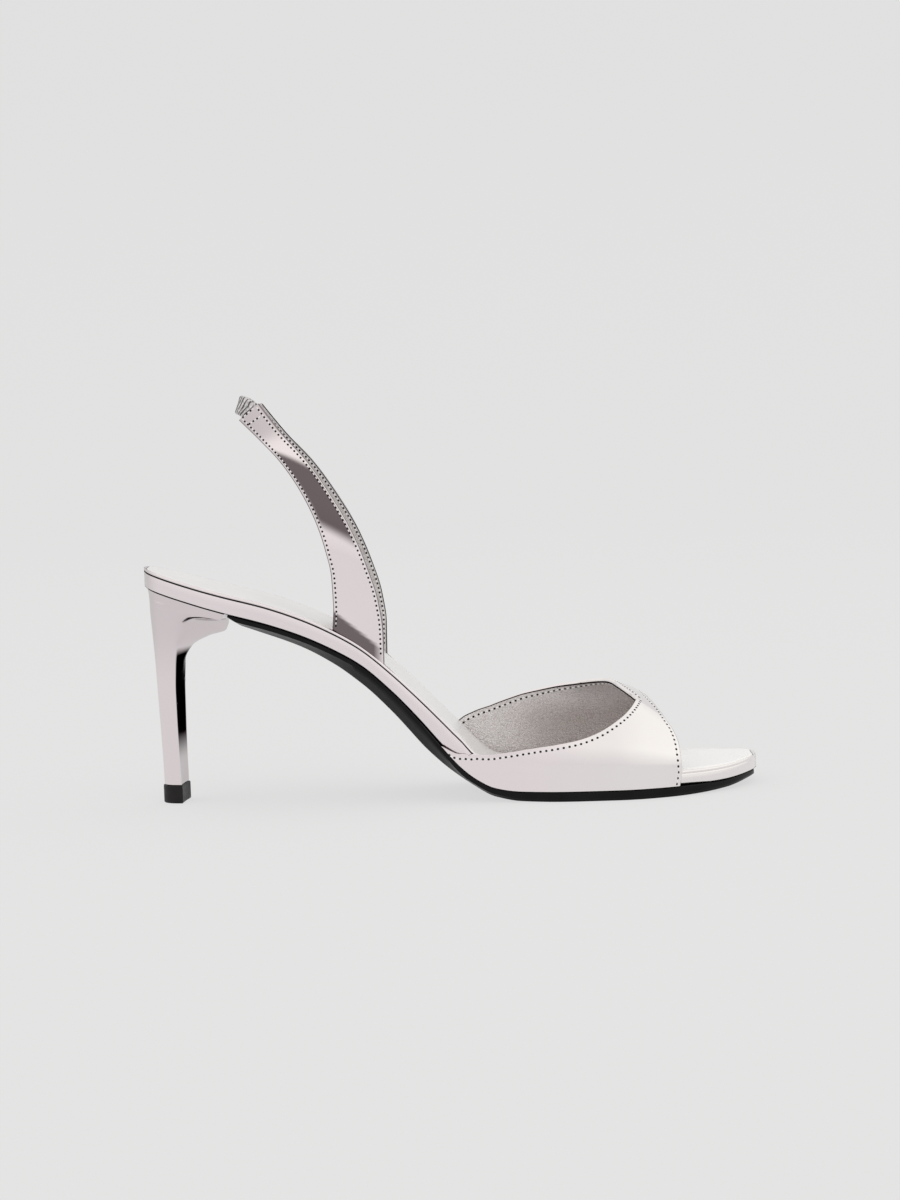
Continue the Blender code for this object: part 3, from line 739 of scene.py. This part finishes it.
def heelRing(back, breast, half, tongue, turn, level, slope=0.0, roundSteps=40, flatSteps=18):
    ring = []
    for i in range(roundSteps + 1):
        angle = -math.pi / 2 + math.pi * i / roundSteps
        bulge = max(math.cos(angle), 0.0) ** (2 / heel["roundness"])
        side = math.copysign(abs(math.sin(angle)) ** (2 / heel["roundness"]), angle)
        ring.append((breast - (breast - back) * bulge, half * side, 0.0))
    for i in range(1, flatSteps):
        t = i / flatSteps
        ring.append((breast + tongue * math.sin(math.pi * t), half * (1 - 2 * t), 1.0))
    pivot = (back + breast) / 2
    turned = []
    for x, y, front in ring:
        dx = x - pivot
        tx = pivot + dx * math.cos(turn) + y * math.sin(turn)
        ty = y * math.cos(turn) - dx * math.sin(turn)
        turned.append((tx, ty, level + slope * (boardLine(tx) - boardLine(0.0)), front))
    return turned


def makeHeel():
    seat = boardLine(0.0) - gap / 2
    foot = heel["tipHeight"] + gap
    rings, shade = [], []
    low = heel["lowShare"]
    for i in range(heel["rings"] + 1):
        drop = (i / heel["rings"]) ** heel["crowding"]
        level = seat - (seat - foot) * drop
        slope = smooth(heelShape, "slope", drop)
        turn = math.radians(heel["turn"]) * (1 - slope)
        ring = []
        for x, y, z, front in heelRing(*heelSizes(drop), turn, level, slope):
            limit = outline(max(x, shoe["start"] * length), "outer") + heel["inset"]
            ring.append((x, max(y, limit) if y < 0 else min(y, -limit), z))
            dark = softStep(*heel["darkTop"], z) * (low + (1 - low) * softStep(*heel["darkLow"], z))
            # painted shade on the sides, darker near the top
            paintedSideShade = heel["paintedSideShade"] + heel["paintedSideShadeTop"] * softStep(*heel["paintedSideShadeFade"], z)
            shade.append(max(front * dark, paintedSideShade))
        rings.append(ring)
    return loft("heel_cover", rings, [heelSkin], shade, sharp=50)


heelPiece = makeHeel()
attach(heelPiece, "root")
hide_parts("heel")


def makeTip():
    back, breast, half, tongue = heelSizes(1.0)
    top, soft = heel["tipHeight"], heel["tipSoft"]
    turn, rings = math.radians(heel["turn"]), []
    for level, shrink in ((top, 0.6), (top - soft * 0.4, 0.12), (top - soft, 0.0), (top * 0.5, 0.0),
                          (soft, 0.0), (soft * 0.4, 0.12), (0.0, 0.6)):
        lip = heel["lip"] - shrink * soft
        ring = heelRing(back - lip, breast + lip, half + lip, tongue, turn, level)
        rings.append([p[:3] for p in ring])
    return loft("tip", rings, [tipSkin], sharp=50)


tipPiece = makeTip()
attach(tipPiece, "root")
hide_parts("heel_tip")
print("heel made")

# vamp
vamp = {
    "wall": board["vampWall"],
    "columns": 230,
    "rows": 44,
    "fold": 0.3 * mm,        # how far the folded edge stands out at its middle
    "stitchInset": 1.55 * mm,
    "stitchPitch": 2.15 * mm,
    "stitchLength": 1.25 * mm,
    "threadWidth": 0.50 * mm,
    "hole": 0.42 * mm,
}


def vampPoint(x, place):
    base = boardLine(x) + gap / 2
    rise = smooth(lastTop, "rise", x / length) * heelHeight
    edge = outline(x, "outer" if place < 0 else "inner")
    top = shoe["topShare"]
    if abs(place) >= top:
        return Vector((x, edge, base + shoe["sideRise"] * (1 - abs(place)) / (1 - top)))
    angle = math.pi / 2 * place / top
    reach = abs(math.sin(angle)) ** (2 / shoe["fullness"])
    lift = max(math.cos(angle), 1e-9) ** (2 / shoe["fullness"])
    y = shoe["ridgeOffset"] + (edge - shoe["ridgeOffset"]) * reach
    return Vector((x, y, base + shoe["sideRise"] + (rise - shoe["sideRise"]) * lift))


def vampNormal(x, place):
    if abs(place) >= shoe["topShare"]:
        return Vector((0.0, math.copysign(1.0, place), 0.0))
    here, step = 0.5 * mm, 0.01
    along = vampPoint(x + here, place) - vampPoint(x - here, place)
    roundly = vampPoint(x, min(place + step, 0.999)) - vampPoint(x, max(place - step, -0.999))
    normal = along.cross(roundly).normalized()
    return -normal if normal.z < 0 else normal


def throat(place):
    return smooth(throatEdge, "along", place) * length


def opening(place):
    return smooth(toeOpening, "along", place) * length


def vampPlaces(count, fineCount=600):
    # places round the vamp at even distances along its two edges together
    fine = [-1 + 2 * i / fineCount for i in range(fineCount + 1)]
    rear, front = (pathLengths([vampPoint(edge(p), p) for p in fine]) for edge in (throat, opening))
    total = [a + b for a, b in zip(rear, front)]
    places, j = [], 0
    for i in range(count + 1):
        j, t = locate(total, total[-1] * i / count, j)
        places.append(fine[j] + (fine[j + 1] - fine[j]) * t)
    return places


def folded(outer, inner, away):
    # the leather's rounded edge from one side of the wall to the other
    bulge = (outer - away).normalized() * vamp["fold"]
    return [outer.lerp(inner, t) + bulge * math.sin(math.pi * t) for t in (0.12, 0.35, 0.65, 0.88)]


def makeVamp():
    # each column is one ring: outside, folded toe edge, lining, folded throat edge
    rows = vamp["rows"]
    rings = []
    for place in vampPlaces(vamp["columns"]):
        start, end = throat(place), opening(place)
        outside, inside = [], []
        for r in range(rows + 1):
            x = start + (end - start) * r / rows
            point = vampPoint(x, place)
            inner = point - vampNormal(x, place) * vamp["wall"]
            if abs(place) == 1.0:
                inner.z = point.z
            outside.append(point)
            inside.append(inner)
        ring = outside + folded(outside[-1], inside[-1], outside[-2])
        ring += list(reversed(inside)) + folded(inside[0], outside[0], inside[1])
        rings.append(ring)
    toeFold, throatFold = rows + 2, 2 * rows + 5

    def look(column, k):
        if toeFold <= k <= toeFold + 2 or throatFold <= k <= throatFold + 1:
            return 2
        return 1 if toeFold < k < throatFold else 0

    return loft("vamp_leather", rings, [leatherSkin, liningSkin, edgeAndShadeSkin], None, look, sharp=65)


vampPiece = makeVamp()
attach(vampPiece, "root")
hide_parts("vamp")
print("vamp made")

# straps
strap = {
    "thickness": 1.8 * mm,
    "bow": 0.25 * mm,
    "footShare": 0.14,
    "soft": 0.45 * mm,
    "rings": 120,
    "stitchInset": 1.35 * mm,
    "stitchPitch": 1.75 * mm,
    "stitchLength": 0.95 * mm,
    "threadWidth": 0.42 * mm,
    "hole": 0.38 * mm,
    "seamStart": 0.03,
    "seamEnd": 0.985,
    "barEnd": 0.94,
    "darkStart": (0.405, 0.475),      # run of the painted dark reflection on the outside
    "darkEnd": (0.785, 0.735),
    "darkRear": (-0.44, -0.38),       # and its sides, as shares of the width
    "darkFront": (0.46, 0.40),
    "footDarkEnd": (0.068, 0.056),    # a second patch at the foot
    "footDarkFront": (0.42, 0.38),
    "footDark": 0.95,
    "topShade": 0.30,
    "topFade": (0.83, 0.90),
    "rimShade": 0.85,
    "rimWidth": 0.35 * mm,
}


def footReach(x, side):
    return abs(outline(x, side)) - board["rimWidth"] - gap - strap["thickness"] / 2 - strap["bow"]


def strapEdges(run, side):
    rearX, frontX = (smooth(strapTable, k, run) * length for k in ("rearX", "frontX"))
    rearZ, frontZ = (smooth(strapTable, k, run) * heelHeight for k in ("rearZ", "frontZ"))
    reach, pinch = (smooth(strapTable, k, run) * halfBall for k in (side, "pinch"))
    foot = max(0.0, 1.0 - run / strap["footShare"])
    rearY = foot * footReach(rearX, side) + (1 - foot) * (reach - pinch)
    frontY = foot * footReach(frontX, side) + (1 - foot) * reach
    return (Vector((rearX, signs[side] * rearY, rearZ)),
            Vector((frontX, signs[side] * frontY, frontZ)))


def strapFrame(run, side):
    before = strapEdges(max(0.0, run - 0.01), side)
    after = strapEdges(min(1.0, run + 0.01), side)
    rearEdge, frontEdge = strapEdges(run, side)
    heading = ((after[0] + after[1]) - (before[0] + before[1])).normalized()
    wide = (frontEdge - rearEdge).normalized()
    normal = wide.cross(heading).normalized()
    if normal.y * signs[side] < 0:
        normal = -normal
    return rearEdge, frontEdge, wide, normal


def strapSection(run, side):
    rearEdge, frontEdge, wide, normal = strapFrame(run, side)
    width = (frontEdge - rearEdge).length
    half, soft, bow = strap["thickness"] / 2, strap["soft"], strap["bow"]
    middle = (rearEdge + frontEdge) / 2
    corner = [(soft * (1 - math.sin(a)), soft * (1 - math.cos(a))) for a in quarter()]
    shares = [i / 10 - 0.5 for i in range(1, 10)]
    shape = [(-width / 2 + d, half - e) for d, e in corner]
    shape += [(-width / 2 + e, -half + d) for d, e in corner]
    shape += [(width * s, -half + bow * (1 - 4 * s * s)) for s in shares]
    shape += [(width / 2 - d, -half + e) for d, e in corner]
    shape += [(width / 2 - e, half - d) for d, e in corner]
    shape += [(width * s, half + bow * (1 - 4 * s * s)) for s in reversed(shares)]
    ring = [middle + wide * w + normal * n for w, n in shape]
    if run == 0.0:
        for point in ring:
            point.z = boardTop(point.x) - board["rimDepth"] + gap
    return ring, shape, width


def strapShade(run, share):
    # painted dark reflection: what the outside mirrors at one place of the strap
    patch = softStep(*strap["darkStart"], run + share * 0.05)
    patch *= softStep(*strap["darkEnd"], run + share * 0.10)
    patch *= softStep(*strap["darkRear"], share) * softStep(*strap["darkFront"], share)
    foot = softStep(*strap["footDarkEnd"], run + share * 0.0375)
    foot *= softStep(*strap["footDarkFront"], share) * strap["footDark"]
    return max(patch, foot, strap["topShade"] * softStep(*strap["topFade"], run))


def makeStrap(name, side):
    rings, shade = [], []
    for i in range(strap["rings"] + 1):
        run = i / strap["rings"]
        ring, shape, width = strapSection(run, side)
        rings.append(ring)
        for w, n in shape:
            share = w / width
            mirrored = strapShade(run, share) if n > 0 and side == "outer" else 0.0
            rim = strap["rimShade"] if abs(share) > 0.5 - strap["rimWidth"] / width and n > 0 else 0.0
            shade.append(max(mirrored, rim))

    def look(ring, k):
        # painted dark reflection along both edges, lining between them on the inside
        if 6 <= k <= 8 or 19 <= k <= 21:
            return 2
        return 1 if 9 <= k <= 18 else 0

    return loft(name, rings, [leatherSkin, shadedStrapLiningSkin, edgeAndShadeSkin], shade, look, sharp=60)


for side in signs:
    piece = makeStrap("sling_" + side, side)
    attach(piece, "root")
    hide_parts("strap_" + side)
print("straps made")

# gathered elastic at the back
elastic = {
    "thickness": 1.5 * mm,
    "height": 7.2 * mm,
    "back": (0.1685, 1.947),
    "lean": (0.30, 0.0, 1.0),
    "rounding": 3.0 * mm,
    "squareness": 0.35,
    "fold": 0.40 * mm,
    "folds": 11,
    "slant": 45,             # folds run slightly askew
    "waves": 0.35,           # and wander
    "edgeFold": 0.8,
    # painted shade in the hollows of the folds
    "paintedFoldShade": (-0.05, -0.85),
    "points": 56,
    "rings": 200,
}


def elasticCentre(t):
    rearEdge, frontEdge = strapEdges(1.0, "outer")
    before = strapEdges(0.97, "outer")
    middle = (rearEdge + frontEdge) / 2
    heading = (middle - (before[0] + before[1]) / 2).normalized()
    start = middle + heading * gap * 1.5
    back = Vector((elastic["back"][0] * length, 0.0, elastic["back"][1] * heelHeight))
    points = (start, start + heading * elastic["rounding"],
              back - Vector((0, elastic["rounding"], 0)), back)
    a, b, c = (points[i].lerp(points[i + 1], t) for i in range(3))
    before, after = a.lerp(b, t), b.lerp(c, t)
    centre, going = before.lerp(after, t), (after - before).normalized()
    wide = (frontEdge - rearEdge).normalized() * (1 - t) + Vector(elastic["lean"]).normalized() * t
    wide = (wide - going * going.dot(wide)).normalized()
    return centre, going, wide


def squared(value):
    return math.copysign(abs(value) ** elastic["squareness"], value)


def elasticRing(share):
    centre, going, wide = elasticCentre(min(share, 2 - share))
    normal = going.cross(wide)
    half, thick = elastic["height"] / 2, elastic["thickness"] / 2
    ring, dark = [], []
    for i in range(elastic["points"]):
        a = 2 * math.pi * i / elastic["points"]
        w = half * squared(math.sin(a))
        n = thick * squared(math.cos(a))
        wave = noise.noise(Vector((w * 420, share * 6.0, n * 300)))
        turns = share * elastic["folds"] / 2 + w * elastic["slant"] + wave * elastic["waves"]
        fold = math.sin(2 * math.pi * turns)
        n += math.copysign(elastic["fold"] * (0.5 * fold - 0.5), n)
        w -= math.copysign(elastic["fold"] * elastic["edgeFold"] * (0.5 - 0.5 * fold), w)
        ring.append(centre + wide * w + normal * n)
        # painted shade where the fold sinks in
        dark.append(softStep(*elastic["paintedFoldShade"], fold))
    if share > 1.0:
        ring = [Vector((p.x, -p.y, p.z)) for p in ring]
    return ring, dark


elasticRings = [elasticRing(2 * i / elastic["rings"]) for i in range(elastic["rings"] + 1)]
elasticFoldShade = [value for ring, dark in elasticRings for value in dark]
elasticPiece = loft("gathered_band", [ring for ring, dark in elasticRings], [elasticSkin],
                    elasticFoldShade, sharp=80)
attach(elasticPiece, "root")
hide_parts("elastic")
print("elastic made")

# stitches: threads, and dark discs painted as the shade in the holes between them, as two joined
# meshes a row
stitch = {
    "steps": 8,                  # faces along one thread
    "sides": 5,                  # and over its back
    "endHeight": 0.30,           # both as shares of the thread's width
    "middleHeight": 0.42,
    "taper": 1.2,
    "sunk": 0.12 * mm,
    "holeSides": 10,
    "holeStretch": 1.1,
    "holeMiddle": 0.075 * mm,    # heights above the leather
    "holeEdge": 0.045 * mm,
    "sideFrom": 0.78,            # beyond this the vamp's seam turns down to the sole
    "offSkin": 0.3 * mm,
}


def atLength(points, total, goal):
    j, t = locate(total, goal)
    return points[j][0].lerp(points[j + 1][0], t), points[j][1].lerp(points[j + 1][1], t).normalized()


def seamFrame(points, total, goal):
    # a place on the seam with its heading, sideways direction and normal
    middle, normal = atLength(points, total, goal)
    ahead, _ = atLength(points, total, goal + 0.2 * mm)
    heading = (ahead - middle).normalized()
    return middle, heading, normal.cross(heading).normalized(), normal


def addThread(points, faces, place, part):
    # a low rounded thread that dips into its holes
    middle, heading, sideways, normal = place
    width, steps, sides = part["threadWidth"], stitch["steps"], stitch["sides"]
    base = len(points)
    for j in range(steps + 1):
        t = j / steps - 0.5
        lift = width * (stitch["endHeight"] + stitch["middleHeight"] * math.cos(math.pi * t))
        for k in range(sides + 1):
            a = math.pi * k / sides
            rise = lift * math.sin(a) - stitch["sunk"]
            spread = width / 2 * math.cos(a) * (1 - stitch["taper"] * t * t)
            points.append(middle + heading * part["stitchLength"] * t + sideways * spread
                          + normal * rise)
    for j in range(steps):
        for k in range(sides):
            a = base + j * (sides + 1) + k
            faces.append((a, a + 1, a + sides + 2, a + sides + 1))


def addHole(points, faces, place, size):
    # a flat dark disc: painted shade in the stitch hole
    centre, heading, sideways, normal = place
    sides, base = stitch["holeSides"], len(points)
    points.append(centre + normal * stitch["holeMiddle"])
    for k in range(sides):
        a = 2 * math.pi * k / sides
        points.append(centre + heading * size * stitch["holeStretch"] * math.cos(a)
                      + sideways * size * math.sin(a) + normal * stitch["holeEdge"])
        faces.append((base, base + 1 + k, base + 1 + (k + 1) % sides))


def addStitches(name, rows, part):
    # each row is a list of (point, normal) along the seam, and part has the stitch's sizes
    threads, threadFaces, holes, holeFaces = [], [], [], []
    for points in rows:
        total = pathLengths([point for point, normal in points])
        count = max(1, round(total[-1] / part["stitchPitch"]))
        step = total[-1] / count
        for i in range(count):
            addThread(threads, threadFaces, seamFrame(points, total, (i + 0.5) * step), part)
            addHole(holes, holeFaces, seamFrame(points, total, i * step), part["hole"])
    for piece in (addMesh(name + "_thread", threads, threadFaces, [threadSkin]),
                  addMesh(name + "_hole_shade", holes, holeFaces, [holeShadeSkin])):
        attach(piece, "root")


def onSkin(goal, x, place):
    # the place on the vamp's skin that is nearest to the goal
    stepX, stepPlace, farthest, nearly = 0.2 * mm, 0.002, 4, 0.995
    for _ in range(40):
        du = vampPoint(x + stepX, place) - vampPoint(x, place)
        dv = vampPoint(x, clamp(place + stepPlace, -1, 1)) - vampPoint(x, place)
        off = goal - vampPoint(x, place)
        a, b, c = du.dot(du), du.dot(dv), dv.dot(dv)
        e, f = du.dot(off), dv.dot(off)
        det = a * c - b * b
        if abs(det) < 1e-20:
            break
        x += clamp((e * c - f * b) / det, -farthest, farthest) * stepX
        place += clamp((a * f - b * e) / det, -farthest, farthest) * stepPlace
        place = clamp(place, -nearly, nearly)
    return x, place


def vampSeam(edge, low, high, lined=False, count=260):
    # a line at a steady distance inside one edge of the vamp
    points, step = [], 0.004
    for i in range(count + 1):
        place = low + (high - low) * i / count
        x = edge(place)
        here = vampPoint(x, place)
        ahead = vampPoint(edge(place + step), place + step)
        ahead -= vampPoint(edge(place - step), place - step)
        inward = ahead.normalized().cross(vampNormal(x, place))
        toMiddle = vampPoint((throat(place) + opening(place)) / 2, place) - here
        if edge is throat and abs(place) > stitch["sideFrom"]:
            toMiddle = Vector((0, 0, -1))      # the skin lies below the edge here
        if inward.dot(toMiddle) < 0:
            inward = -inward
        goal = here + inward * vamp["stitchInset"]
        x, place = onSkin(goal, x, place)
        point, normal = vampPoint(x, place), vampNormal(x, place)
        if abs(point.z - goal.z) < stitch["offSkin"]:      # none below the skin, at the sole
            points.append((point, normal))
    if lined:                        # the same row seen on the lining
        points = [(point - normal * vamp["wall"], -normal) for point, normal in points]
    return points


def strapPoint(side, run, share, lined=False):
    rearEdge, frontEdge, wide, normal = strapFrame(run, side)
    width = (frontEdge - rearEdge).length
    w = share * (width / 2 - strap["stitchInset"])
    half = -strap["thickness"] / 2 if lined else strap["thickness"] / 2
    n = half + strap["bow"] * (1 - 4 * (w / width) ** 2)
    return (rearEdge + frontEdge) / 2 + wide * w + normal * n, -normal if lined else normal


def strapSeam(side, share, lined=False, count=120):
    low, high = strap["seamStart"], strap["seamEnd"]
    return [strapPoint(side, low + (high - low) * i / count, share, lined) for i in range(count + 1)]


def strapBar(side, run, count=20):
    # a short cross seam at the end of a strap
    return [strapPoint(side, run, -0.8 + 1.6 * i / count) for i in range(count + 1)]


addStitches("vamp_stitch", [vampSeam(throat, -0.97, -0.19), vampSeam(throat, -0.18, 0.95),
                            vampSeam(opening, -0.985, 0.985)], vamp)
addStitches("lining_stitch", [vampSeam(throat, 0.05, 0.90, True)], vamp)
for side in signs:
    addStitches("sling_stitch_" + side,
                [strapSeam(side, -1), strapSeam(side, 1),
                 strapBar(side, strap["seamEnd"]), strapBar(side, strap["barEnd"])], strap)
    addStitches("sling_lining_stitch_" + side,
                [strapSeam(side, -1, True), strapSeam(side, 1, True)], strap)
print("stitches made")

# studio: one sweep for floor and back, soft lights, camera
studio = {
    "glow": 0.638,
    "floor": 0.13,
    "horizon": (0.765, 0.758, 0.760),
    "low": (0.83, 0.825, 0.82),
    "high": (0.94, 0.935, 0.915),
    "zenith": (0.92, 0.915, 0.90),
    "toeSide": (1.12, 1.13, 1.11),    # brighter on the toe's side
    "overhead": 2.8,
    "side": 0.8,
}
sweepSizes = {"half": 4.0, "near": -3.0, "far": 2.4, "top": 1.05, "radius": 0.5, "steps": 24}


def makeSweep():
    radius, far, half = sweepSizes["radius"], sweepSizes["far"], sweepSizes["half"]
    line = [(sweepSizes["near"], 0.0)]
    for a in quarter(sweepSizes["steps"]):
        line.append((far - radius + radius * math.sin(a), radius - radius * math.cos(a)))
    line.append((far, sweepSizes["top"]))
    points = [Vector((x, y, z)) - shift for x in (-half, half) for y, z in line]
    count = len(line)
    faces = [(i, i + count, i + 1 + count, i + 1) for i in range(count - 1)]
    material, tree, shader = nodesOf("pale_sweep")
    tone = cloud(tree, 3, 2, grey(studio["floor"]), grey(studio["floor"] * 1.02))
    plug(tree, tone, shader, "Base Color")
    setInputs(shader, {"Roughness": 1.0, "Specular IOR Level": 0.0,
                       "Emission Color": (1.0, 1.0, 1.0, 1.0), "Emission Strength": studio["glow"]})
    sweep = addMesh("sweep", points, faces, [material])


makeSweep()


def addLight(name, place, aim, size, energy):
    data = bpy.data.lights.new(name, "AREA")
    data.shape = "RECTANGLE"
    data.size, data.size_y = size
    data.energy = energy
    item = bpy.data.objects.new(name, data)
    item.location = place
    item.visible_glossy = False      # the mirror leather shows the even room, not the lamps
    item.rotation_euler = (Vector(aim) - Vector(place)).to_track_quat("-Z", "Y").to_euler()
    scene.collection.objects.link(item)


addLight("overhead", (0.1, -0.1, 1.5), (0, 0, 0), (1.6, 1.2), studio["overhead"])
addLight("left_front", (-1.1, -1.3, 0.9), (0, 0, 0.05), (0.9, 0.9), studio["side"])

world = bpy.data.worlds.new("studio")
world.use_nodes = True
scene.world = world
tree = world.node_tree
background = tree.nodes["Background"]
place = tree.nodes.new("ShaderNodeTexCoord")
split = tree.nodes.new("ShaderNodeSeparateXYZ")
link(tree, place, "Generated", split, "Vector")
sky = ramp(tree, split, "Z", [(0.0, studio["horizon"]), (0.22, studio["low"]),
                              (0.55, studio["high"]), (1.0, studio["zenith"])])
toeGlow = ramp(tree, split, "X", [(0.0, grey(1.0)), (0.7, studio["toeSide"])])
plug(tree, multiply(tree, sky, toeGlow), background, "Color")

# the photograph's camera: 4.5 degrees up, turned a hair, rolled a little
view = {
    "up": 4.5,
    "turn": 0.5,
    "roll": 2.05,
    "aim": (112.6 * mm, 0.0, 71.4 * mm),
    "distance": 1.050,
    "lens": 85.1,
    "sensor": 36.0,
}
up, turn, roll = (math.radians(view[k]) for k in ("up", "turn", "roll"))
back = Vector((math.sin(turn) * math.cos(up), -math.cos(turn) * math.cos(up), math.sin(up)))
rightFlat = Vector((math.cos(turn), math.sin(turn), 0.0))
upFlat = back.cross(rightFlat)
right = rightFlat * math.cos(roll) - upFlat * math.sin(roll)
upward = rightFlat * math.sin(roll) + upFlat * math.cos(roll)
axes = Matrix((right, upward, back)).transposed().to_4x4()
camera = bpy.data.objects.new("camera", bpy.data.cameras.new("camera"))
camera.data.lens = view["lens"]
camera.data.sensor_width = view["sensor"]
camera.data.clip_start = 0.01
camera.matrix_world = Matrix.Translation(Vector(view["aim"]) + shift + back * view["distance"]) @ axes
scene.collection.objects.link(camera)
scene.camera = camera
scene.view_settings.view_transform = "Standard"
print("studio made")
